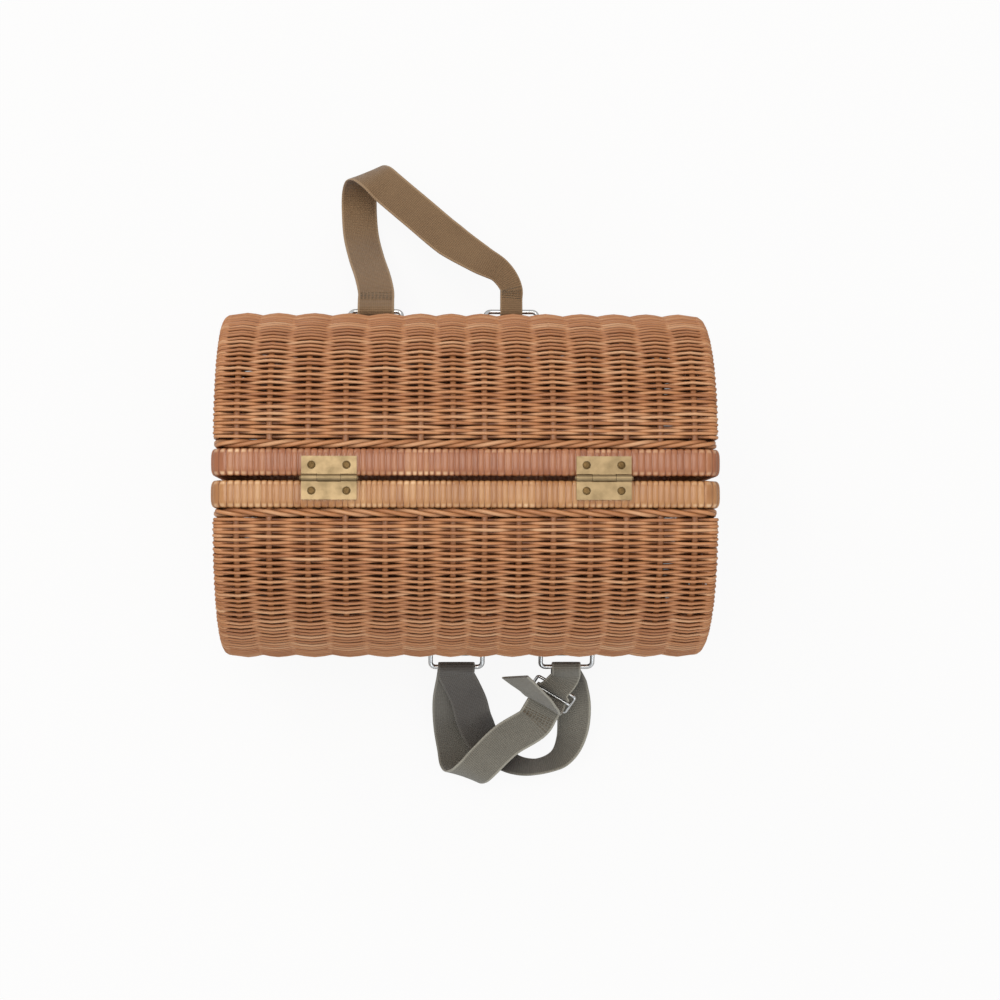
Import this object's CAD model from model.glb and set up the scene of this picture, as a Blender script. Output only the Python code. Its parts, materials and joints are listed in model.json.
"""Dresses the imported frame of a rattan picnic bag: woven half barrels, brass hinges and webbing straps.

Lengths are in metres, in the row frame. Each half of the basket is worked out in its own coordinates
(x, d, h): x along the barrel, d outwards from the seam between the halves, h up from the barrel's middle.
"""

from __future__ import annotations

import json
import logging
import math
from dataclasses import dataclass, field
from enum import Enum
from typing import Callable, Sequence

import bpy
import numpy as np
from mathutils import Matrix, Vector

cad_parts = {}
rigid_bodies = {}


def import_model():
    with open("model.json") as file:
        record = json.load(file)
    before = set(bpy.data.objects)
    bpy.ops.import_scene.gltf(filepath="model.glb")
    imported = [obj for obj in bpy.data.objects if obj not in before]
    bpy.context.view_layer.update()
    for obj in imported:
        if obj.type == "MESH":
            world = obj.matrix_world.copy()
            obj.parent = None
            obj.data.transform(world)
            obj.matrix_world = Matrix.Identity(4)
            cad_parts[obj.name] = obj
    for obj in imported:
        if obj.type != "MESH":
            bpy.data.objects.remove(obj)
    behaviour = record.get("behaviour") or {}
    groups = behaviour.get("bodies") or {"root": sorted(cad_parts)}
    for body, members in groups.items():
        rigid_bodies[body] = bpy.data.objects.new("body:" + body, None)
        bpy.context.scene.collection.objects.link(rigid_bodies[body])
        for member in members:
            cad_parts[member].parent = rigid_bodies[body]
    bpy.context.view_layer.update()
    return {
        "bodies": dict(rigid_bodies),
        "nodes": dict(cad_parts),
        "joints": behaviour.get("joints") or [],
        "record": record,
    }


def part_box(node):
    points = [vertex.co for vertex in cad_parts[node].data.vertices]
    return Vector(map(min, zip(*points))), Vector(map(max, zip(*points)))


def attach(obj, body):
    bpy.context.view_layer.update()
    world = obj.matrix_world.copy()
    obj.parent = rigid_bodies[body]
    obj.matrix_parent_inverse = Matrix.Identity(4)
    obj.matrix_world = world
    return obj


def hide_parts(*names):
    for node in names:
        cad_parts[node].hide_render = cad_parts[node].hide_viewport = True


LOG = logging.getLogger("picnic_bag")
Array = np.ndarray
Rgb = tuple[float, float, float]

MM = 0.001
X_AXIS = np.array([1.0, 0.0, 0.0])


def srgb(red: float, green: float, blue: float) -> tuple[float, float, float, float]:
    """A linear colour with alpha 1 from 0 to 255 display values."""
    linear = [((c / 255 + 0.055) / 1.055) ** 2.4 if c > 10 else c / 255 / 12.92 for c in (red, green, blue)]
    return (linear[0], linear[1], linear[2], 1.0)


# Shader maths


class Value:
    """A number socket, with operators that add Math nodes to its material."""

    def __init__(self, shader: "Shader", socket: bpy.types.NodeSocket | float) -> None:
        """Wraps a socket, or a plain number, of that shader."""
        self.shader = shader
        self.socket = socket

    def _math(self, operation: str, *others: "Value | float", clamp: bool = False) -> "Value":
        """A Math node of this value and others.

        Args:
            operation: Blender's name of the operation.
            others: the second and third inputs.
            clamp: whether the result is kept between 0 and 1.

        Returns:
            The node's result.
        """
        inputs = {i: v for i, v in enumerate((self, *others))}
        settings = {"operation": operation, "use_clamp": clamp}
        return Value(self.shader, self.shader.node("ShaderNodeMath", settings, inputs).outputs[0])

    def __add__(self, other: "Value | float") -> "Value":
        """self + other."""
        return self._math("ADD", other)

    def __radd__(self, other: float) -> "Value":
        """other + self."""
        return self._math("ADD", other)

    def __sub__(self, other: "Value | float") -> "Value":
        """self - other."""
        return self._math("SUBTRACT", other)

    def __rsub__(self, other: float) -> "Value":
        """other - self."""
        return Value(self.shader, other)._math("SUBTRACT", self)

    def __mul__(self, other: "Value | float") -> "Value":
        """self * other."""
        return self._math("MULTIPLY", other)

    def __rmul__(self, other: float) -> "Value":
        """other * self."""
        return self._math("MULTIPLY", other)

    def __truediv__(self, other: "Value | float") -> "Value":
        """self / other."""
        return self._math("DIVIDE", other)

    def floor(self) -> "Value":
        """The whole number below."""
        return self._math("FLOOR")

    def fract(self) -> "Value":
        """The part after the point."""
        return self._math("FRACT")

    def abs(self) -> "Value":
        """The size without the sign."""
        return self._math("ABSOLUTE")

    def sin(self) -> "Value":
        """The sine."""
        return self._math("SINE")

    def above(self, edge: float, width: float) -> "Value":
        """0 below edge, 1 above edge + width, and a straight ramp between."""
        return ((self - edge) / width)._math("ADD", 0.0, clamp=True)


class Shader:
    """One material's node tree and the few ways in which its nodes are made."""

    def __init__(self, name: str) -> None:
        """Starts a material of that name with a Principled surface."""
        self.material = bpy.data.materials.new(name)
        self.material.use_nodes = True
        self.tree = self.material.node_tree
        self.tree.nodes.clear()
        self.output = self.tree.nodes.new("ShaderNodeOutputMaterial")
        self.surface = self.tree.nodes.new("ShaderNodeBsdfPrincipled")
        self.tree.links.new(self.surface.outputs[0], self.output.inputs["Surface"])

    def node(self, kind: str, settings: dict | None = None, inputs: dict | None = None) -> bpy.types.Node:
        """Adds a node.

        Args:
            kind: Blender's type name of the node.
            settings: attributes that are set first; "stops" fills a colour ramp.
            inputs: socket name or number to a value, a socket or a Value.

        Returns:
            The node.
        """
        node = self.tree.nodes.new(kind)
        for name, setting in (settings or {}).items():
            if name == "stops":
                self._fill_ramp(node.color_ramp, setting)
            else:
                setattr(node, name, setting)
        for name, value in (inputs or {}).items():
            self.feed(node.inputs[name], value)
        return node

    def feed(self, socket: bpy.types.NodeSocket, value: object) -> None:
        """Links a socket or a Value to a socket, or sets a plain value on it."""
        source = value.socket if isinstance(value, Value) else value
        if isinstance(source, bpy.types.NodeSocket):
            self.tree.links.new(source, socket)
        else:
            socket.default_value = source

    @staticmethod
    def _fill_ramp(ramp: bpy.types.ColorRamp, stops: Sequence[tuple[float, tuple]]) -> None:
        """Gives a colour ramp its stops of (position, colour)."""
        while len(ramp.elements) < len(stops):
            ramp.elements.new(0.5)
        for element, (position, colour) in zip(ramp.elements, stops):
            element.position = position
            element.color = colour

    def attribute(self, name: str) -> bpy.types.Node:
        """The node that reads a mesh attribute."""
        return self.node("ShaderNodeAttribute", {"attribute_name": name})

    def parts(self, vector: bpy.types.NodeSocket) -> tuple[Value, Value, Value]:
        """The three parts of a vector."""
        split = self.node("ShaderNodeSeparateXYZ", inputs={0: vector})
        return tuple(Value(self, split.outputs[i]) for i in range(3))

    def vector(self, x: object, y: object, z: object) -> bpy.types.NodeSocket:
        """A vector from three values."""
        return self.node("ShaderNodeCombineXYZ", inputs={0: x, 1: y, 2: z}).outputs[0]

    def place(self) -> bpy.types.NodeSocket:
        """The object's own coordinates."""
        return self.node("ShaderNodeTexCoord").outputs["Object"]

    def noise(self, where: object, scale: float, detail: float = 3.0, roughness: float = 0.55) -> Value:
        """Noise between 0 and 1 at a place."""
        inputs = {"Vector": where, "Scale": scale, "Detail": detail, "Roughness": roughness}
        return Value(self, self.node("ShaderNodeTexNoise", inputs=inputs).outputs[0])

    def chance(self, seed: Value) -> Value:
        """A random number between 0 and 1 for each value of seed."""
        node = self.node("ShaderNodeTexWhiteNoise", {"noise_dimensions": "1D"}, {"W": seed})
        return Value(self, node.outputs[0])

    def ramp(self, value: Value, stops: Sequence[tuple[float, tuple]]) -> bpy.types.NodeSocket:
        """The colour of a value on a colour ramp."""
        return self.node("ShaderNodeValToRGB", {"stops": stops}, {0: value}).outputs[0]

    def mix(self, factor: object, first: object, second: object) -> bpy.types.NodeSocket:
        """Two colours mixed by a factor."""
        node = self.node("ShaderNodeMix", {"data_type": "RGBA"}, {0: factor, 6: first, 7: second})
        return node.outputs[2]

    def bump(self, height: Value, distance: float, strength: float = 1.0) -> bpy.types.NodeSocket:
        """A normal that is tilted by a height of 0 to 1 over a real distance."""
        inputs = {"Height": height, "Distance": distance, "Strength": strength}
        return self.node("ShaderNodeBump", inputs=inputs).outputs[0]

    def finish(self, **sockets: object) -> bpy.types.Material:
        """Feeds the Principled surface's sockets, with _ for a space, and returns the material."""
        for name, value in sockets.items():
            self.feed(self.surface.inputs[name.replace("_", " ")], value)
        return self.material


# Finishes


@dataclass(frozen=True)
class StrandFinish:
    """Varnished rattan strands.

    The mesh's `strand` is (along, around, tone), and its `depth` says how far a strand lies behind its stake,
    from 0 in front to 1 behind.
    """

    name: str = "varnished_rattan"
    dark: tuple = srgb(146, 88, 50)
    middle: tuple = srgb(186, 126, 80)
    light: tuple = srgb(226, 184, 142)
    hidden: tuple = srgb(112, 64, 34)
    roughness: float = 0.42

    def material(self) -> bpy.types.Material:
        """The node material."""
        s = Shader(self.name)
        along, around, tone = s.parts(s.attribute("strand").outputs["Vector"])
        depth = Value(s, s.attribute("depth").outputs["Fac"])
        fibre = s.noise(s.vector(along * 60.0, around * 9.0, tone * 40.0), 1.0, 4.0)
        blotch = s.noise(s.vector(along * 22.0, around * 0.7, tone * 90.0), 1.0, 2.0)
        shade = tone * 0.4 + fibre * 0.5 + blotch * 0.6 - 0.28
        colour = s.ramp(shade, [(0.0, self.dark), (0.5, self.middle), (1.0, self.light)])
        knot = s.noise(s.place(), 160.0, 2.0).above(0.71, 0.05)
        colour = s.mix(knot * 0.55, colour, self.dark)
        colour = s.mix(depth.above(0.1, 0.72) * 0.88, colour, self.hidden)
        return s.finish(
            Base_Color=colour,
            Roughness=fibre * 0.22 + self.roughness - 0.1,
            Normal=s.bump(fibre, 0.25 * MM, 0.55),
            Specular_IOR_Level=0.42,
        )


@dataclass(frozen=True)
class WrapFinish:
    """Flat cane that is wound round a rim.

    The mesh's `strand` is (number of the turn, around, how near the rim's worn edges).
    """

    name: str
    dark: tuple
    middle: tuple
    light: tuple
    worn: tuple = srgb(244, 206, 160)
    seam: tuple = srgb(92, 46, 22)
    roughness: float = 0.36

    def material(self) -> bpy.types.Material:
        """The node material."""
        s = Shader(self.name)
        turn, around, edge = s.parts(s.attribute("strand").outputs["Vector"])
        tone = s.chance(turn.floor())
        across = turn.fract()
        fibre = s.noise(s.vector(turn * 7.0, around * 0.35, 0.0), 1.0, 4.0)
        patch = s.noise(s.place(), 30.0, 3.0)
        shade = tone * 0.3 + fibre * 0.55 + patch * 0.7 - 0.3
        colour = s.ramp(shade, [(0.0, self.dark), (0.5, self.middle), (1.0, self.light)])
        middle = 1.0 - (across - 0.5).abs() * 2.0
        worn = edge.above(0.55, 0.35) * middle.above(0.25, 0.4) * patch.above(0.4, 0.3)
        colour = s.mix(worn * 0.7, colour, self.worn)
        colour = s.mix((1.0 - middle.above(0.02, 0.16)) * (edge * 0.6 + 0.35), colour, self.seam)
        return s.finish(
            Base_Color=colour,
            Roughness=fibre * 0.25 + self.roughness - 0.1,
            Normal=s.bump(fibre, 0.25 * MM, 0.6),
            Coat_Weight=0.2,
        )


@dataclass(frozen=True)
class MetalFinish:
    """Plated metal with fine scratches and patches of tarnish."""

    name: str
    clean: tuple
    tarnish: tuple
    roughness: float

    def material(self) -> bpy.types.Material:
        """The node material."""
        s = Shader(self.name)
        place = s.place()
        patch = s.noise(place, 90.0, 4.0)
        scratch = s.noise(place, 900.0, 2.0)
        colour = s.mix(patch.above(0.42, 0.3) * 0.7, self.clean, self.tarnish)
        return s.finish(
            Base_Color=colour,
            Metallic=1.0,
            Roughness=patch * 0.2 + scratch * 0.12 + self.roughness - 0.1,
            Normal=s.bump(patch, 0.12 * MM, 0.35),
        )


@dataclass(frozen=True)
class LeatherFinish:
    """Smooth strap leather with a fine grain."""

    name: str = "strap_leather"
    face: tuple = srgb(112, 70, 42)
    crease: tuple = srgb(66, 38, 22)

    def material(self) -> bpy.types.Material:
        """The node material."""
        s = Shader(self.name)
        place = s.place()
        inputs = {"Vector": place, "Scale": 1400.0}
        cells = s.node("ShaderNodeTexVoronoi", {"feature": "DISTANCE_TO_EDGE"}, inputs)
        grain = Value(s, cells.outputs[0]).above(0.0, 0.25)
        wear = s.noise(place, 120.0, 4.0)
        colour = s.mix(wear, self.crease, self.face)
        normal = s.bump(grain, 0.15 * MM, 0.5)
        return s.finish(Base_Color=colour, Roughness=wear * 0.25 + 0.4, Normal=normal)


class Side(Enum):
    """The two faces of a strap's webbing."""

    FACE = 1
    BACK = -1


@dataclass(frozen=True)
class WebbingFinish:
    """Woven cotton webbing.

    The mesh's `strand` is (along, across from -1 to 1, which face), and its `depth` says where it is still
    dark because nothing wears or bleaches it.
    """

    name: str
    face: tuple
    shade: tuple
    selvedge: tuple
    unworn: tuple = srgb(62, 56, 52)
    rib: float = 1.5 * MM
    warp_turns: float = 62.0

    def material(self) -> bpy.types.Material:
        """The node material."""
        s = Shader(self.name)
        along, across, _ = s.parts(s.attribute("strand").outputs["Vector"])
        turn = 2 * math.pi / self.rib
        ribs = (along * turn).sin() * 0.5 + 0.5
        ends = (across * self.warp_turns).sin() * 0.5 + 0.5
        weave = ribs * 0.65 + ends * 0.35
        fuzz = s.noise(s.place(), 700.0, 3.0)
        wear = s.noise(s.place(), 34.0, 3.0)
        tone = weave * 0.45 + fuzz * 0.4 + wear * 0.35 - 0.1
        colour = s.ramp(tone, [(0.0, self.shade), (1.0, self.face)])
        edge = across.abs().above(0.86, 0.06)
        colour = s.mix(edge * 0.7, colour, self.selvedge)
        dark = Value(s, s.attribute("depth").outputs["Fac"])
        colour = s.mix(dark * (wear * 0.5 + 0.7), colour, self.unworn)
        return s.finish(
            Base_Color=colour,
            Roughness=0.9,
            Sheen_Weight=0.25,
            Normal=s.bump(weave * 0.8 + fuzz * 0.2, 0.45 * MM, 0.9),
        )


# Surfaces


def unit(vectors: Array) -> Array:
    """Vectors along the last axis, made one long."""
    return vectors / np.maximum(np.linalg.norm(vectors, axis=-1, keepdims=True), 1e-12)


def keep_sign(wave: Array, power: float) -> Array:
    """sign(w) |w|^power: a wave that is made squarer by a power below 1, or sharper by one above."""
    return np.sign(wave) * np.abs(wave) ** power


def run_lengths(lines: Array) -> Array:
    """Distances along lines of (..., n, 3) places, from 0 at the start of each."""
    step = np.linalg.norm(np.diff(lines, axis=-2), axis=-1)
    return np.concatenate([np.zeros(step.shape[:-1] + (1,)), np.cumsum(step, axis=-1)], axis=-1)


def with_both_tails(tail: Array, run: Array, sign: int) -> Array:
    """A row that ends in a tail and starts with the same tail the other way round, times a sign."""
    return np.concatenate([sign * tail[::-1], run, tail])


def round_turns(count: int) -> Array:
    """Angles of the points round a section, from half a step on."""
    return 2 * math.pi * (np.arange(count) + 0.5) / count


@dataclass
class Skin:
    """Points, faces and point attributes of a mesh that is gathered from several surfaces."""

    points: list[Array] = field(default_factory=list)
    quads: list[Array] = field(default_factory=list)
    triangles: list[Array] = field(default_factory=list)
    strand: list[Array] = field(default_factory=list)
    depth: list[Array] = field(default_factory=list)
    count: int = 0

    def add(self, points: Array, quads: Array, triangles: Array, strand: Array, depth: Array) -> None:
        """Adds a surface.

        Args:
            points: (n, 3) places.
            quads: (m, 4) point numbers, counted from 0 within this surface.
            triangles: (k, 3) point numbers.
            strand: (n, 3) values of the `strand` attribute.
            depth: (n,) values of the `depth` attribute.
        """
        self.points.append(points.reshape(-1, 3))
        self.quads.append(quads.reshape(-1, 4) + self.count)
        self.triangles.append(triangles.reshape(-1, 3) + self.count)
        self.strand.append(strand.reshape(-1, 3))
        self.depth.append(depth.reshape(-1))
        self.count += len(self.points[-1])

    def tubes(
        self,
        paths: Array,
        normals: Array,
        radius: Array | float,
        sides: int = 6,
        flat: float = 1.0,
        closed: bool = False,
        tone: Array | float = 0.5,
        depth: Array | float = 0.0,
    ) -> None:
        """Adds tubes: path + radius * (cos a * normal + flat * sin a * side), with side = tangent x normal.

        Args:
            paths: (rows, n, 3) middle lines.
            normals: (rows, n, 3) directions out of the surface that the strands lie on.
            radius: half the thickness, a number or (rows, n).
            sides: number of flats round a tube; its seam is at the back.
            flat: width of the section as a share of its thickness.
            closed: whether each line ends where it starts.
            tone: shade of each row, a number or (rows,).
            depth: how far the line lies behind, a number or (rows, n). The sides and back of a tube lie
                deeper, as 1 - (1 - depth) * (0.5 + 0.5 cos a)^1.4.
        """
        rows, count = paths.shape[:2]
        if closed:
            tangents = unit(np.roll(paths, -1, axis=1) - np.roll(paths, 1, axis=1))
        else:
            tangents = unit(np.gradient(paths, axis=1))
        side = unit(np.cross(tangents, normals))
        up = np.cross(side, tangents)
        turn = math.pi + round_turns(sides)
        size = np.broadcast_to(np.asarray(radius, float), (rows, count))[:, :, None, None]
        ring = np.cos(turn)[:, None] * up[:, :, None, :] + flat * np.sin(turn)[:, None] * side[:, :, None, :]
        points = paths[:, :, None, :] + size * ring
        strand = np.empty((rows, count, sides, 3))
        strand[..., 0] = run_lengths(paths)[:, :, None]
        strand[..., 1] = (np.arange(sides) / sides)[None, None, :]
        strand[..., 2] = np.broadcast_to(np.asarray(tone, float), (rows,))[:, None, None]
        number = np.arange(rows * count * sides).reshape(rows, count, sides)
        ahead = np.roll(number, -1, axis=1)
        here = number if closed else number[:, :-1]
        ahead = ahead if closed else ahead[:, :-1]
        quads = np.stack([here, np.roll(here, -1, 2), np.roll(ahead, -1, 2), ahead], axis=-1)
        triangles = np.empty((0, 3), int)
        if not closed:
            fan = np.arange(1, sides - 1)
            start, end = number[:, 0], number[:, -1]
            first = np.broadcast_to(start[:, :1], (rows, sides - 2))
            last = np.broadcast_to(end[:, :1], (rows, sides - 2))
            caps = [
                np.stack([first, start[:, fan + 1], start[:, fan]], axis=-1),
                np.stack([last, end[:, fan], end[:, fan + 1]], axis=-1),
            ]
            triangles = np.concatenate(caps).reshape(-1, 3)
        behind = np.broadcast_to(np.asarray(depth, float), (rows, count))[:, :, None]
        self.add(points, quads, triangles, strand, 1 - (1 - behind) * (0.5 + 0.5 * np.cos(turn)) ** 1.4)

    def grid(
        self,
        points: Array,
        strand: Array,
        closed: tuple[bool, bool],
        depth: Array | float = 0.0,
    ) -> None:
        """Adds a surface on a grid of (rows, columns) points.

        Args:
            points: (rows, columns, 3) places; row direction x column direction points inwards.
            strand: (rows, columns, 3) attribute values.
            closed: whether the rows, and whether the columns, close on themselves.
            depth: the `depth` attribute, a number or (rows, columns).
        """
        rows, columns = points.shape[:2]
        number = np.arange(rows * columns).reshape(rows, columns)
        below = np.roll(number, -1, axis=0) if closed[0] else number[1:]
        here = number if closed[0] else number[:-1]
        right, below_right = np.roll(here, -1, axis=1), np.roll(below, -1, axis=1)
        if not closed[1]:
            here, right = here[:, :-1], right[:, :-1]
            below, below_right = below[:, :-1], below_right[:, :-1]
        quads = np.stack([here, right, below_right, below], axis=-1)
        self.add(points, quads, np.empty((0, 3), int), strand, np.zeros((rows, columns)) + depth)

    def cap(self, first: int, count: int, reverse: bool) -> None:
        """Closes a ring of points, numbered from first, with a fan of triangles."""
        ring = first + np.arange(count)
        start = np.full(count - 2, ring[0])
        pair = (ring[2:], ring[1:-1]) if reverse else (ring[1:-1], ring[2:])
        self.triangles.append(np.stack([start, *pair], axis=-1))

    def band(self, points: Array, strand: Array, depth: Array | float = 0.0) -> None:
        """Adds a closed section carried along a line, as (line, section) points, and shuts both ends."""
        first, (rows, around) = self.count, points.shape[:2]
        self.grid(points, strand, (False, True), depth)
        self.cap(first, around, False)
        self.cap(first + (rows - 1) * around, around, True)

    def piece(
        self,
        name: str,
        place: Callable[[Array], Array] | None = None,
        mirrored: bool = False,
    ) -> bpy.types.Object:
        """Makes the gathered mesh an object at the origin.

        Args:
            name: the object's name.
            place: turns local points into places in the row frame.
            mirrored: whether place turns the surface inside out, so that its faces are turned back.

        Returns:
            The object.
        """
        points = np.concatenate(self.points)
        points = place(points) if place else points
        quads = np.concatenate(self.quads or [np.empty((0, 4), int)]).astype(np.int32)
        triangles = np.concatenate(self.triangles or [np.empty((0, 3), int)]).astype(np.int32)
        if mirrored:
            quads, triangles = quads[:, ::-1], triangles[:, ::-1]
        loops = np.concatenate([quads.ravel(), triangles.ravel()])
        starts = np.concatenate([np.arange(len(quads)) * 4, len(quads) * 4 + np.arange(len(triangles)) * 3])
        mesh = bpy.data.meshes.new(name)
        mesh.vertices.add(len(points))
        mesh.vertices.foreach_set("co", points.astype(np.float32).ravel())
        mesh.loops.add(len(loops))
        mesh.loops.foreach_set("vertex_index", loops)
        mesh.polygons.add(len(starts))
        mesh.polygons.foreach_set("loop_start", starts.astype(np.int32))
        mesh.update(calc_edges=True)
        strand = mesh.attributes.new("strand", "FLOAT_VECTOR", "POINT")
        strand.data.foreach_set("vector", np.concatenate(self.strand).astype(np.float32).ravel())
        depth = mesh.attributes.new("depth", "FLOAT", "POINT")
        depth.data.foreach_set("value", np.concatenate(self.depth).astype(np.float32))
        mesh.polygons.foreach_set("use_smooth", np.ones(len(starts), bool))
        piece = bpy.data.objects.new(name, mesh)
        bpy.context.scene.collection.objects.link(piece)
        return piece


def catmull_rom(stations: Array, steps: int) -> Array:
    """A centripetal Catmull-Rom curve: a cubic on each span, sloped by the root distances of its knots.

    Args:
        stations: (n, 3) places that the curve passes.
        steps: samples on each span.

    Returns:
        ((n - 1) * steps + 1, 3) places.
    """
    padded = np.vstack([2 * stations[0] - stations[1], stations, 2 * stations[-1] - stations[-2]])
    p0, p1, p2, p3 = padded[:-3], padded[1:-2], padded[2:-1], padded[3:]
    gaps = [np.sqrt(np.linalg.norm(b - a, axis=1))[:, None] for a, b in ((p0, p1), (p1, p2), (p2, p3))]
    t0, t1, t2 = gaps
    slope1 = ((p1 - p0) / t0 - (p2 - p0) / (t0 + t1) + (p2 - p1) / t1) * t1
    slope2 = ((p2 - p1) / t1 - (p3 - p1) / (t1 + t2) + (p3 - p2) / t2) * t1
    w = (np.arange(steps) / steps)[None, :, None]
    a = (2 * p1 - 2 * p2 + slope1 + slope2)[:, None]
    b = (-3 * p1 + 3 * p2 - 2 * slope1 - slope2)[:, None]
    curve = ((a * w + b) * w + slope1[:, None]) * w + p1[:, None]
    return np.vstack([curve.reshape(-1, 3), stations[-1:]])


# The basket


class Half(Enum):
    """The two halves of the basket, by the side of the seam that they are on."""

    BASE = -1
    LID = 1

    @property
    def word(self) -> str:
        """The half's name in the frame."""
        return self.name.lower()


@dataclass
class Basket:
    """Sizes that both halves share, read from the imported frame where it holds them.

    The woven corners are tighter than the solids', and the ends swell a little past them.

    Attributes:
        seam: y of the plane between the halves.
        centre: z of the barrel's middle.
        half_length: half the woven length.
        half_height: half the woven height.
        weave_start: where the weave starts, outwards from the seam.
        weave_depth: how far it reaches from there.
        corner: radius round which the rows turn onto the ends.
        end_swell: of the woven ends past the solid ones.
        stake_places_mm: x of the stakes under the curved side.
    """

    seam: float
    centre: float
    half_length: float
    half_height: float
    weave_start: float
    weave_depth: float
    corner: float = 8 * MM
    end_swell: float = 1.5 * MM
    stake_places_mm: tuple[float, ...] = (
        -158.3, -135.9, -109.3, -83.4, -56.1, -31.6, -9.2, 12.5, 36.3, 60.1, 86.0, 110.5, 134.3, 158.1,
    )

    @classmethod
    def from_frame(cls, frame: dict) -> "Basket":
        """Reads the seam from the lid's hinge and the woven walls from their CAD boxes."""
        hinge = next(joint for joint in frame["joints"] if joint["name"] == "lid_hinge")
        seam = float(hinge["pos_m"][1])
        low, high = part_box("lid_curved_side")
        _, end_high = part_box("lid_end_right")
        return cls(
            seam=seam,
            centre=(low.z + high.z) / 2,
            half_length=end_high.x + cls.end_swell,
            half_height=(high.z - low.z) / 2,
            weave_start=low.y - seam,
            weave_depth=high.y - low.y,
        )

    def placed(self, half: Half) -> Callable[[Array], Array]:
        """The way from a half's own (x, d, h) to the row frame."""

        def place(points: Array) -> Array:
            """y = seam + side * d and z = centre + h."""
            out = points.copy()
            out[:, 1] = self.seam + half.value * points[:, 1]
            out[:, 2] = self.centre + points[:, 2]
            return out

        return place

    def section(self, turn: Array, inset: Array | float = 0.0) -> tuple[Array, Array]:
        """The half ellipse d = start + (a - inset) cos t, h = (b - inset) sin t, and its outward normal."""
        a, b = self.weave_depth - inset, self.half_height - inset
        zero, cos, sin = np.zeros_like(turn), np.cos(turn), np.sin(turn)
        places = np.stack([zero, self.weave_start + a * cos, b * sin], axis=-1)
        return places, unit(np.stack([zero, b * cos, a * sin], axis=-1))

    def turns(self, count: int, margin: float) -> Array:
        """Turns of the half ellipse that part its length evenly, with a margin at both rims."""
        fine = np.linspace(-math.pi / 2, math.pi / 2, 4001)
        length = run_lengths(self.section(fine)[0])
        return np.interp(np.linspace(margin, length[-1] - margin, count), length, fine)

    def outwards(self, half: Half, low: Vector, high: Vector) -> tuple[float, float]:
        """Where a box starts, outwards from the seam, and how deep it is."""
        near, far = sorted(half.value * (v - self.seam) for v in (low.y, high.y))
        return near, far - near

    def piece(self, skin: Skin, half: Half, name: str) -> bpy.types.Object:
        """A mesh in a half's own coordinates as a piece of that half."""
        return skin.piece(f"{half.word}_{name}", self.placed(half), half is Half.BASE)


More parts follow.
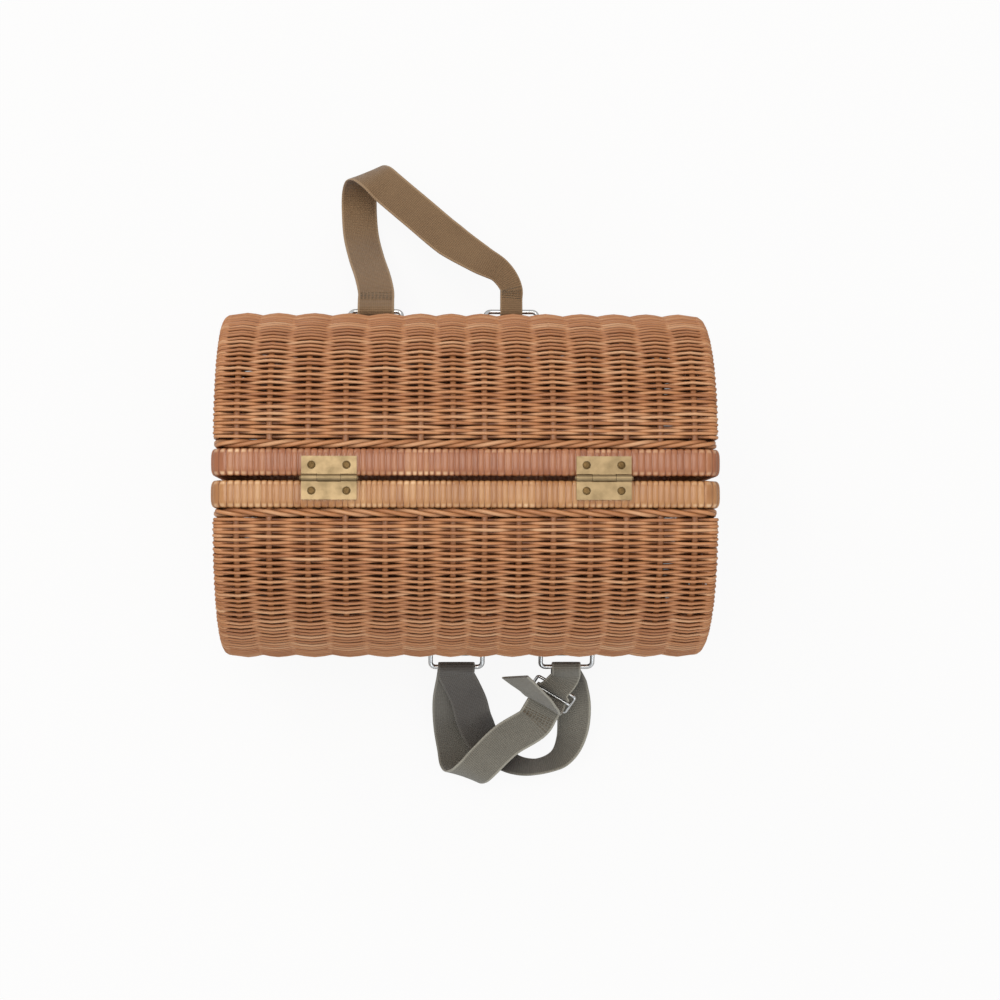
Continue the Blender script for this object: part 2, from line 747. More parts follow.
@dataclass
class Weave:
    """Plain weave of round strands over stakes, whose middle lines are offset by a slightly sharpened cosine.

    Attributes:
        basket: the sizes that both halves share.
        half: the half that is woven.
        pitch: from row to row.
        strand_radius: half a strand's thickness.
        stake_thick: half a stake's thickness.
        stake_wide: half a stake's width.
        woven_girth: length of the curved side from rim to rim, which says how many rows it has.
        mean_radius: of the curved side, which turns a row's drift into an angle.
        end_stake_gap: from stake to stake on the ends.
        beyond_stakes: how far past the last stake a row would cross another one.
        bend_degrees: the turns at which a row is sampled round a corner.
        held: how deep the stakes sit in the rim.
        seed: of the random draws.
    """

    basket: Basket
    half: Half
    pitch: float = 2.4 * MM
    strand_radius: float = 1.27 * MM
    stake_thick: float = 0.8 * MM
    stake_wide: float = 2.3 * MM
    woven_girth: float = 349.5 * MM
    mean_radius: float = 112 * MM
    end_stake_gap: float = 25.5 * MM
    beyond_stakes: float = 24 * MM
    bend_degrees: tuple[float, ...] = (18, 36, 54, 72, 88)
    held: float = 12 * MM
    seed: int = 7

    def __post_init__(self) -> None:
        """Works out how far strands swing and where the wall's middle lies."""
        self.swing = self.strand_radius + self.stake_thick * 0.8
        self.middle = -(self.swing + self.strand_radius)
        self.random = np.random.default_rng(self.seed + self.half.value)

    def offsets(self, phase: Array) -> Array:
        """Offset of strands at a phase that is whole at each stake: sign(c) |c|^1.2, c = cos(pi phase)."""
        return self.swing * keep_sign(np.cos(math.pi * phase), 1.2)

    def wander(self, where: Array, turns: float, count: int) -> Array:
        """A slow sine along each of count strands, with a random start."""
        return np.sin(where * turns + self.random.uniform(0, 6.3, (count, 1)))

    def depths(self, offset: Array) -> Array:
        """How far strands lie behind: 0 in front and where they cross, rising to 1 behind a stake."""
        return np.clip(-offset / self.swing * 1.35 - 0.1, 0, 1)

    def curved_side(self) -> bpy.types.Object:
        """Rows along the curved side that wrap round its corners onto the ends.

        A row is a straight run over the stakes with a tail on both sides, which turns round the corner and is
        tucked in behind the end's rows.
        """
        basket, rng = self.basket, self.random
        places = np.array(basket.stake_places_mm) * MM
        count = int(self.woven_girth / self.pitch)
        turns = basket.turns(count, self.pitch * 0.6)
        straight = basket.half_length - basket.corner
        spans = [np.linspace(a, b, 5)[:-1] for a, b in zip(places[:-1], places[1:])]
        run = np.concatenate([[-straight], *spans, places[-1:], [straight]])
        bend = np.radians(self.bend_degrees)
        tuck = np.array([2.5, 5.0]) * MM
        tail_x = np.concatenate([straight + basket.corner * np.sin(bend), np.full(2, basket.half_length)])
        tail_inset = np.concatenate([basket.corner * (1 - np.cos(bend)), basket.corner + tuck])
        tail_angle = np.concatenate([bend, np.full(2, math.pi / 2)])
        tail_sink = np.array([-0.6, -1.2, -1.5, -1.5, -1.0, 0.2, 1.8]) * MM
        level = np.zeros_like(run)
        x = with_both_tails(tail_x, run, -1)
        inset = with_both_tails(tail_inset, level, 1)
        angle = with_both_tails(tail_angle, level, -1)
        sink = with_both_tails(tail_sink, level, 1)
        reach = np.concatenate([[places[0] - self.beyond_stakes], places, [places[-1] + self.beyond_stakes]])
        arc = np.sign(angle) * basket.corner * np.abs(angle) + np.clip(x, -straight, straight)
        phase = np.interp(arc, reach, np.arange(-1, len(places) + 1))
        columns = len(x)
        drift = rng.normal(0, 0.1, (count, 1)) + 0.12 * self.wander(arc[None, :], 55, count)
        turn = turns[:, None] + drift * self.pitch / self.mean_radius
        surface, normal = basket.section(turn, np.broadcast_to(inset, (count, columns)))
        surface[..., 0] = x
        normal = normal * np.cos(angle)[None, :, None]
        normal[..., 0] = np.sin(angle)
        parity = np.arange(count)[:, None]
        offset = self.offsets(phase[None, :] + parity) * rng.uniform(0.86, 1.0, (count, 1))
        corner_swing = 0.2
        offset[:, : len(tail_x)] *= corner_swing
        offset[:, -len(tail_x) :] *= corner_swing
        paths = surface + normal * (offset + self.middle - sink)[..., None]
        radius = self.strand_radius * rng.uniform(0.9, 1.04, (count, 1)) * np.ones((1, columns))
        skin = Skin()
        skin.tubes(paths, normal, radius, 8, tone=rng.uniform(0, 1, count), depth=self.depths(offset))
        return basket.piece(skin, self.half, "woven_side")

    def end_stake_heights(self) -> Array:
        """Heights of the stakes on an end."""
        return np.arange(-4, 5) * self.end_stake_gap

    def end(self, hand: int) -> bpy.types.Object:
        """Rows up and down a D-shaped end, each as long as the D is high at its distance from the seam.

        Args:
            hand: 1 for the end at +X, -1 for the other.

        Returns:
            The woven end.
        """
        basket, rng = self.basket, self.random
        inner_a = basket.weave_depth - basket.corner
        inner_b = basket.half_height - basket.corner
        tuck, fade_length = 1.5 * MM, 7 * MM
        count = int((inner_a - tuck) / self.pitch)
        rise = (np.arange(count) + 0.6) * self.pitch
        reach = inner_b * np.sqrt(1 - (rise / inner_a) ** 2) + tuck
        samples = 49
        h = reach[:, None] * np.linspace(-1, 1, samples)[None, :]
        phase = h / self.end_stake_gap + np.arange(count)[:, None]
        fade = np.clip((reach[:, None] - np.abs(h)) / fade_length, 0, 1)
        offset = self.offsets(phase) * rng.uniform(0.86, 1.0, (count, 1))
        sink = 1.6 * MM * (1 - fade) ** 2
        wander = 0.1 * MM * self.wander(h, 60, count) + rng.normal(0, 0.12 * MM, (count, 1))
        paths = np.empty((count, samples, 3))
        paths[..., 0] = hand * (basket.half_length + self.middle + offset - sink)
        paths[..., 1] = basket.weave_start + rise[:, None] + wander
        paths[..., 2] = h
        normal = np.zeros_like(paths)
        normal[..., 0] = hand
        radius = self.strand_radius * rng.uniform(0.92, 1.04, (count, 1)) * np.ones((1, samples))
        skin = Skin()
        skin.tubes(paths, normal, radius, tone=rng.uniform(0, 1, count), depth=self.depths(offset))
        return basket.piece(skin, self.half, f"woven_end_{'right' if hand > 0 else 'left'}")

    def stakes(self) -> bpy.types.Object:
        """Half hoops at the stake places and upright stakes on the ends, all held in the rim."""
        basket = self.basket
        turn = np.linspace(-math.pi / 2, math.pi / 2, 61)
        surface, normal = basket.section(turn)
        line = surface + normal * self.middle
        start, end = line[0].copy(), line[-1].copy()
        start[1] = end[1] = basket.weave_start - self.held
        line = np.vstack([start, line, end])
        normal = np.vstack([normal[0], normal, normal[-1]])
        places = np.array(basket.stake_places_mm) * MM
        paths = np.repeat(line[None], len(places), axis=0)
        paths[..., 0] = places[:, None]
        normals = np.repeat(normal[None], len(places), axis=0)
        skin = Skin()
        tones = self.random.uniform(0.2, 0.7, len(places))
        wide = self.stake_wide / self.stake_thick
        skin.tubes(paths, normals, self.stake_thick, 8, wide, tone=tones, depth=0.5)
        heights = self.end_stake_heights()
        inner_a, inner_b = basket.weave_depth - basket.corner, basket.half_height - basket.corner
        top = inner_a * np.sqrt(np.clip(1 - (heights / inner_b) ** 2, 0, 1)) + 3 * MM
        reach = np.linspace(0, 1, 13)[None, :]
        for hand in (-1, 1):
            upright = np.empty((len(heights), reach.size, 3))
            upright[..., 0] = hand * (basket.half_length + self.middle)
            upright[..., 1] = basket.weave_start - self.held + (top[:, None] + self.held) * reach
            upright[..., 2] = heights[:, None]
            out = np.zeros_like(upright)
            out[..., 0] = hand
            skin.tubes(upright, out, self.stake_thick, 8, wide, tone=0.4, depth=0.5)
        return basket.piece(skin, self.half, "stakes")


@dataclass
class FrameLoop:
    """A rectangle with rounded corners in the plane of x and h: its line, outward normals and length."""

    half_length: float
    half_height: float
    corner: float

    def at(self, where: Array) -> tuple[Array, Array]:
        """Places and normals at distances along the loop, counted from the middle of the upper side.

        Args:
            where: distances, of any shape.

        Returns:
            Places and outward normals, with d = 0.
        """
        a, b, r = self.half_length - self.corner, self.half_height - self.corner, self.corner
        quarter = math.pi / 2 * r
        knots = np.cumsum([0, a, quarter, 2 * b, quarter, 2 * a, quarter, 2 * b, quarter, a])
        s = np.mod(where, knots[-1])
        x, h = np.zeros_like(s), np.zeros_like(s)
        turn = np.zeros_like(s)
        corners = [(a, b), (a, -b), (-a, -b), (-a, b)]
        starts = [(0.0, b + r), (a + r, b), (a, -b - r), (-a - r, -b), (-a, b + r)]
        steps = [(1, 0), (0, -1), (-1, 0), (0, 1), (1, 0)]
        for i in range(5):
            on = (s >= knots[2 * i]) & (s <= knots[2 * i + 1])
            run = s - knots[2 * i]
            x = np.where(on, starts[i][0] + steps[i][0] * run, x)
            h = np.where(on, starts[i][1] + steps[i][1] * run, h)
            turn = np.where(on, math.pi / 2 - i * math.pi / 2, turn)
        for i, (cx, ch) in enumerate(corners):
            on = (s > knots[2 * i + 1]) & (s < knots[2 * i + 2])
            angle = math.pi / 2 - i * math.pi / 2 - (s - knots[2 * i + 1]) / max(r, 1e-9)
            x = np.where(on, cx + r * np.cos(angle), x)
            h = np.where(on, ch + r * np.sin(angle), h)
            turn = np.where(on, angle, turn)
        zero = np.zeros_like(s)
        return np.stack([x, zero, h], -1), np.stack([np.cos(turn), zero, np.sin(turn)], -1)

    def length(self) -> float:
        """Once round the loop."""
        return 4 * (self.half_length + self.half_height - 2 * self.corner) + 2 * math.pi * self.corner


@dataclass
class Rim:
    """A thick cane frame with flat cane wound round it, and the twined rows (the wale) beside it.

    Attributes:
        basket: the sizes that both halves share.
        half: the half that it belongs to.
        thick: of the frame, in its own plane.
        corner: outer radius of the frame's corners.
        turn_width: mean width of a turn of flat cane.
        groove: depth between two turns.
        wale_inset: from the frame's outline to the wale's.
        wale_thick: of the wale, in the same plane.
        wale_corner: radius of the wale's middle line at the corners.
        twined_radius: half the thickness of a twined strand.
        twist_length: of the wale in which its strands go round once.
        seed: of the random draws.
    """

    basket: Basket
    half: Half
    thick: float = 9 * MM
    corner: float = 14 * MM
    turn_width: float = 4.4 * MM
    groove: float = 0.6 * MM
    wale_inset: float = 1.5 * MM
    wale_thick: float = 8 * MM
    wale_corner: float = 9 * MM
    twined_radius: float = 1.55 * MM
    twist_length: float = 49 * MM
    seed: int = 21

    def __post_init__(self) -> None:
        """Reads the rim's and the wale's boxes."""
        low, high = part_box(f"{self.half.word}_rim")
        self.start, self.depth = self.basket.outwards(self.half, low, high)
        self.half_length, self.half_height = high.x, (high.z - low.z) / 2
        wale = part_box(f"{self.half.word}_wale")
        self.wale_start, self.wale_depth = self.basket.outwards(self.half, *wale)
        self.random = np.random.default_rng(self.seed + self.half.value)

    def loop(self, inset: float, corner: float) -> FrameLoop:
        """The line that runs round the rim, that far within its outline."""
        return FrameLoop(self.half_length - inset, self.half_height - inset, corner)

    def wound_band(self) -> bpy.types.Object:
        """The band: a superellipse of power 3.4, carried round a loop and swelled by each turn of cane."""
        half_thick, half_depth = self.thick / 2, self.depth / 2
        loop = self.loop(half_thick, self.corner - half_thick)
        turns = int(loop.length() / self.turn_width)
        within, around = 7, 26
        widths = self.random.uniform(0.82, 1.18, turns)
        edges = np.concatenate([[0], np.cumsum(widths)]) / widths.sum() * loop.length()
        share = np.arange(within) / within
        number = (np.arange(turns)[:, None] + share[None, :]).ravel()
        where = np.interp(number, np.arange(turns + 1), edges)
        middle, normal = loop.at(where)
        profile = round_turns(around) - math.pi / 2
        power = 2 / 3.4
        out = keep_sign(np.sin(profile), power) * half_thick
        deep = keep_sign(np.cos(profile), power) * half_depth
        bulge = 1 - np.abs(2 * np.mod(number, 1) - 1) ** 3
        lift = self.groove * (bulge - 1) + self.random.normal(0, 0.05 * MM, turns)[number.astype(int)]
        scale_out = 1 + lift[:, None] / half_thick
        scale_deep = 1 + lift[:, None] / half_depth
        points = middle[:, None, :] + normal[:, None, :] * (out[None, :] * scale_out)[..., None]
        points[..., 1] = self.start + half_depth + deep[None, :] * scale_deep
        worn_at, worn_width = 0.82 * half_depth, 0.2 * half_depth
        strand = np.empty(points.shape)
        # A little past each edge, or the shader's floor could take it for the turn before.
        strand[..., 0] = number[:, None] + 0.001
        strand[..., 1] = np.arange(around)[None, :]
        strand[..., 2] = np.exp(-(((np.abs(deep) - worn_at) / worn_width) ** 2))[None, :]
        skin = Skin()
        skin.grid(points, strand, (True, True))
        return self.basket.piece(skin, self.half, "wound_rim")

    def twined_rows(self) -> bpy.types.Object:
        """Three strands that twist round the stakes: a flattened helix, a third of a turn apart."""
        radius = self.twined_radius
        loop = self.loop(self.wale_inset + self.wale_thick / 2, self.wale_corner)
        length = loop.length()
        where = np.linspace(0, length, 640, endpoint=False)
        middle, normal = loop.at(where)
        cycles = round(length / self.twist_length)
        phase = 2 * math.pi * (cycles * where / length)
        skin = Skin()
        for strand in range(3):
            turn = phase + 2 * math.pi * strand / 3
            out = (self.wale_thick / 2 - radius) * np.cos(turn)
            deep = (self.wale_depth / 2 - radius * 0.9) * np.sin(turn)
            path = middle + normal * out[:, None]
            path[:, 1] = self.wale_start + self.wale_depth / 2 + deep
            tone = 0.35 + 0.25 * strand
            hidden = 0.5 - 0.5 * np.cos(turn)
            skin.tubes(path[None], normal[None], radius, 8, closed=True, tone=tone, depth=hidden[None] * 0.8)
        return self.basket.piece(skin, self.half, "twined_rows")


# Straps and their metal


@dataclass
class Webbing:
    """A strap as stations of place, across and width, and the ways in which they are made.

    The stations are those of the strap's solid, so that both lie in the same place. Turns and sewn ends are
    worked out from the solid's own thickness, and the webbing that is shown is a little thinner.

    Attributes:
        seam: the seam's y.
        side: 1 on the lid, -1 on the base.
        bars: middles of the outer bars of the left and the right ring.
        width: of the webbing where it lies flat.
        thickness: of the webbing that is shown.
        solid_thickness: of the strap's solid.
        gap: between the webbing and a bar that it turns round.
        sewn_length: how far an end is folded back from its bar.
        stations: the stations that have been added.
    """

    seam: float
    side: int
    bars: tuple[Array, Array]
    width: float = 28 * MM
    thickness: float = 1.7 * MM
    solid_thickness: float = 1.8 * MM
    gap: float = 0.3 * MM
    sewn_length: float = 18 * MM
    stations: list[tuple[Array, Array, float]] = field(default_factory=list)

    def __post_init__(self) -> None:
        """Finds the middle between the rings and how far out their bars are."""
        self.middle_x = (self.bars[0][0] + self.bars[1][0]) / 2
        self.bar_out = abs(self.bars[0][1] - self.seam)

    def placed(self, x: float, out: float, z: float) -> Array:
        """A direction with out measured away from the seam."""
        return np.array([x, self.side * out, z], float)

    def at_rings(self, x: float, out: float, z: float) -> Array:
        """The place at that many millimetres, x and out from between the ring bars and z from the ground."""
        at = self.placed(self.middle_x + x * MM, self.bar_out + out * MM, z * MM)
        at[1] += self.seam
        return at

    def run(self, rows: Sequence[Sequence[float]]) -> None:
        """Adds stations from rows of [x, out, z, across x, out, z], and the width where it is narrower.

        Places and widths are in millimetres, as at_rings takes them.
        """
        for x, out, z, *rest in rows:
            width = rest[3] * MM if len(rest) > 3 else self.width
            self.stations.append((self.at_rings(x, out, z), self.placed(*rest[:3]), width))

    def turn_radius(self, bar_radius: float) -> float:
        """Radius of the middle line of webbing that turns round a bar."""
        return bar_radius + self.gap + self.solid_thickness / 2

    def turn_round(
        self,
        bar: Array,
        away: Array,
        up: Array,
        across: Array,
        radius: float,
        width: float,
    ) -> None:
        """Adds half a turn round a bar: bar - r cos t away + r sin t up, from t = 90 to -90 degrees."""
        for degrees in (90, 45, 0, -45, -90):
            t = math.radians(degrees)
            at = bar - radius * math.cos(t) * away + radius * math.sin(t) * up
            self.stations.append((at, across, width))

    def sewn_end(
        self,
        bar: Array,
        away: Array,
        up: Array,
        across: Array,
        bar_radius: float,
        width: float,
    ) -> list[tuple[Array, Array, float]]:
        """Stations of an end that comes in above, turns round a bar and is sewn back under itself."""
        kept, self.stations = self.stations, []
        radius = self.turn_radius(bar_radius)
        flat = (self.solid_thickness + 3 * self.gap) / 2
        middle = (radius + flat) / 2
        sewn = away * self.sewn_length
        self.stations.append((bar + sewn + up * flat, across, width))
        self.stations.append((bar + sewn / 2 + up * middle, across, width))
        self.turn_round(bar, away, up, across, radius, width)
        self.stations.append((bar + sewn / 2 - up * middle, across, width))
        self.stations.append((bar + sewn - up * flat, across, width))
        made, self.stations = self.stations, kept
        return made

    def last_sewn_span(self) -> tuple[float, float]:
        """Where a sewn end that comes last is stitched: between the first two of its nine stations."""
        total = len(self.stations)
        return total - 8.95, total - 8.15

    def fold(
        self,
        start: Sequence[float],
        heading: Sequence[float],
        leaving: Sequence[float],
        radius: float,
    ) -> None:
        """Adds a fold on a slanting crease: start + slip r t crease + r sin t normal + r (1 - cos t) up.

        Args:
            start: [x, out, z] in millimetres, as at_rings takes them.
            heading: plan direction before the fold.
            leaving: plan direction after it.
            radius: of the fold, in metres.
        """
        before = unit(self.placed(heading[0], heading[1], 0))
        after = unit(self.placed(leaving[0], leaving[1], 0))
        crease = unit(before + after)
        share = float(before @ crease)
        normal = unit(before - share * crease)
        slip = share / float(before @ normal)
        origin = self.at_rings(*start)
        up = np.array([0.0, 0.0, 1.0])
        for degrees in range(0, 181, 36):
            t = math.radians(degrees)
            cos, sin = math.cos(t), math.sin(t)
            at = origin + crease * slip * radius * t + normal * radius * sin + up * radius * (1 - cos)
            tangent = crease * slip + normal * cos + up * sin
            face = up * cos - normal * sin
            self.stations.append((at, unit(np.cross(tangent, face)), self.width))

    def lines(self, steps: int) -> tuple[Array, Array, Array, Array]:
        """Middle line, across and up directions and widths along the strap.

        Args:
            steps: samples between two stations.

        Returns:
            Places, unit across, unit up, and widths.
        """
        at, across, width = (np.array(values) for values in zip(*self.stations))
        line = catmull_rom(at, steps)
        t = np.linspace(0, len(at) - 1, len(line))
        knots = np.arange(len(at))
        across = np.stack([np.interp(t, knots, across[:, i]) for i in range(3)], axis=-1)
        tangent = unit(np.gradient(line, axis=0))
        across = unit(across - np.sum(across * tangent, axis=1, keepdims=True) * tangent)
        return line, across, unit(np.cross(across, tangent)), np.interp(t, knots, width)

    def mesh(self, name: str, unworn: Sequence[tuple[Side, float, float, float]] = ()) -> bpy.types.Object:
        """The webbing: a flat superellipse section with thick selvedges, carried along the line.

        Args:
            name: the piece's name.
            unworn: (face, first station, last station, how dark) of the stretches that are still dark.

        Returns:
            The strap.
        """
        line, across, up, width = self.lines(9)
        turn = round_turns(28)
        wide, thick = keep_sign(np.cos(turn), 0.3), keep_sign(np.sin(turn), 0.45)
        selvedge_at, selvedge_width, selvedge_swell = 0.93, 0.05, 0.12
        swell = np.exp(-(((np.abs(wide) - selvedge_at) / selvedge_width) ** 2))
        thick = thick * (1 + selvedge_swell * swell)
        points = line[:, None] + across[:, None] * (wide[None, :] * width[:, None] / 2)[..., None]
        points = points + up[:, None] * (thick * self.thickness / 2)[None, :, None]
        strand = np.empty(points.shape)
        strand[..., 0] = run_lengths(line)[:, None]
        strand[..., 1] = wide[None, :]
        strand[..., 2] = np.sign(thick)[None, :]
        station = np.linspace(0, len(self.stations) - 1, len(line))[:, None]
        dark = np.zeros(points.shape[:2])
        fade = 1.5
        for face, first, last, amount in unworn:
            ramp = np.clip((station - first) / fade, 0, 1) * np.clip((last - station) / fade, 0, 1)
            dark = np.maximum(dark, amount * ramp * (np.sign(thick) == face.value)[None, :])
        skin = Skin()
        skin.band(points, strand, dark)
        return skin.piece(name)

    def stitches(self, name: str, spans: Sequence[tuple[float, float]]) -> bpy.types.Object:
        """Rows of thread stitches through the folded ends.

        Args:
            name: the piece's name.
            spans: (from, to) station numbers that are sewn.

        Returns:
            The stitches.
        """
        steps, rows = 24, 5
        line, across, up, width = self.lines(steps)
        half_stitch, thread, rise = 0.06, 0.28 * MM, 0.18 * MM
        arch = np.array([-1.0, -0.5, 0.0, 0.5, 1.0])
        share = np.linspace(-0.8, 0.8, 9)[:, None] + half_stitch * arch[None, :]
        lift = (self.thickness / 2 + rise * (1 - arch**2)) * np.ones_like(share)
        skin = Skin()
        for first, last in spans:
            for index in np.linspace(first * steps, last * steps, rows).astype(int):
                for side in Side:
                    out = side.value * up[index]
                    path = line[index] + across[index] * (share * width[index] / 2)[..., None]
                    path = path + out * lift[..., None]
                    skin.tubes(path, np.broadcast_to(out, path.shape), thread, 5, tone=0.5)
        return skin.piece(name)


def wire_loop(
    skin: Skin,
    centre: Array,
    x: Array,
    y: Array,
    width: float,
    height: float,
    corner: float,
    radius: float,
) -> None:
    """Adds a rounded rectangle of wire: a tube along arcs and straights in the plane of x and y.

    Args:
        skin: the mesh it is added to.
        centre: middle of the rectangle.
        x: direction of its width.
        y: direction of its height.
        width: between the middles of the side wires.
        height: between the middles of the bars.
        corner: radius of the wire's middle line at the corners.
        radius: of the wire.
    """
    loop = FrameLoop(width / 2, height / 2, corner)
    flat, normal = loop.at(np.linspace(0, loop.length(), 96, endpoint=False))
    path = centre + flat[:, :1] * x + flat[:, 2:] * y
    normals = normal[:, :1] * x + normal[:, 2:] * y
    skin.tubes(path[None], normals[None], radius, 14, closed=True)


@dataclass
class RingAndTab:
    """A wire ring and the leather tab that holds it on the weave.

    Attributes:
        basket: the sizes that both halves share.
        half: the half that it hangs on.
        hand: left or right.
        wire: radius of the wire.
        spacing: between the middles of the ring's two long bars.
        inner_width: between the short sides of the ring.
        corner: radius of the wire's middle line at the corners.
        lean_degrees: how far the ring hangs down from level.
        tab_width: of the leather.
        tab_drop: how far the tab lies below the barrel's middle.
        leather: its thickness.
        loop_radius: of the leather's middle line round the ring's bar.
        loop_height: of that bar over the weave.
        pad_height: of the leather's middle line over the weave.
    """

    basket: Basket
    half: Half
    hand: str
    wire: float = 1.75 * MM
    spacing: float = 15 * MM
    inner_width: float = 36 * MM
    corner: float = 4 * MM
    lean_degrees: float = 30
    tab_width: float = 24 * MM
    tab_drop: float = 62 * MM
    leather: float = 2.2 * MM
    loop_radius: float = 3.15 * MM
    loop_height: float = 4.9 * MM
    pad_height: float = 1.45 * MM

    def __post_init__(self) -> None:
        """Reads the ring's CAD box and finds its two bars."""
        self.ring_name = f"{self.half.word}_ring_{self.hand}"
        self.tab_name = f"{self.half.word}_tab_{self.hand}"
        low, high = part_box(self.ring_name)
        side = self.half.value
        lean = math.radians(self.lean_degrees)
        self.centre = np.array((low + high) / 2)
        self.hang = np.array([0, side * math.cos(lean), -math.sin(lean)])
        self.pivot = self.centre - self.hang * self.spacing / 2
        self.bar = self.centre + self.hang * self.spacing / 2

    def ring(self) -> bpy.types.Object:
        """The smooth wire ring."""
        skin = Skin()
        sizes = (self.inner_width + 2 * self.wire, self.spacing, self.corner, self.wire)
        wire_loop(skin, self.centre, X_AXIS, self.hang, *sizes)
        return skin.piece(f"{self.half.word}_wire_ring_{self.hand}")

    def tab(self) -> bpy.types.Object:
        """The tab: a leather band with rounded edges.

        Its line lies on the weave, loops round the ring's pivot bar and comes back to the weave.
        """
        side, drop = self.half.value, self.tab_drop
        b, a = self.basket.half_height, self.basket.weave_depth
        out = unit(np.array([0, side * math.sqrt(1 - (drop / b) ** 2) / a, -drop / b**2]))
        down = unit(np.array([0, side * out[2], -abs(out[1])]))
        foot = self.pivot + out * (self.pad_height - self.loop_height)
        turns = np.radians(np.linspace(-90, 200, 19))
        around = [self.pivot + self.loop_radius * (math.sin(t) * out - math.cos(t) * down) for t in turns]
        flat = [foot + down * s * MM for s in (24.6, 16, 8, 3)]
        line = catmull_rom(np.array(flat + around), 2)
        tangent = unit(np.gradient(line, axis=0))
        up = unit(np.cross(np.broadcast_to(X_AXIS, tangent.shape), tangent))
        turn = round_turns(20)
        wide = keep_sign(np.cos(turn), 0.25) * self.tab_width / 2
        tall = keep_sign(np.sin(turn), 0.6) * self.leather / 2
        points = line[:, None] + wide[None, :, None] * X_AXIS + up[:, None] * tall[None, :, None]
        skin = Skin()
        skin.band(points, np.zeros(points.shape))
        return skin.piece(f"{self.half.word}_leather_tab_{self.hand}")


@dataclass
class CarryHandle:
    """The plain webbing handle on the lid. It bunches up in its right ring."""

    seam: float
    rings: tuple[RingAndTab, RingAndTab]
    bunched_width: float = 17 * MM

    def build(self) -> tuple[bpy.types.Object, bpy.types.Object]:
        """The webbing and its stitches."""
        left, right = self.rings
        web = Webbing(self.seam, Half.LID.value, (left.bar, right.bar))
        x, y, z = np.eye(3)
        downhill = unit(np.array([0, 0.83, -0.56]))
        first = web.sewn_end(left.bar, downhill, np.cross(x, downhill), x, left.wire, web.width)
        web.stations.extend(reversed(first))
        web.run([[-55, 30, 47, 1, 0, 0], [-60, 46, 31, 1, 0, 0], [-65, 68, 12, 1, 0, 0]])
        web.fold([-66.6, 90, 4], [0, 1], [0.75, -0.77], 20 * MM)
        web.run(
            [
                [-20, 79, 52, 0.72, 0.69, 0],
                [5, 57, 60, 0.74, 0.67, 0],
                [28, 41, 67, 0.78, 0.6, -0.1, 24],
                [44, 31, 69, 0.92, 0.4, 0, 19],
            ]
        )
        web.stations.extend(web.sewn_end(right.bar, y, z, x, right.wire, self.bunched_width))
        strap = web.mesh("carry_webbing")
        first_sewn_span = (7.15, 7.95)
        threads = web.stitches("carry_stitches", [first_sewn_span, web.last_sewn_span()])
        return strap, threads


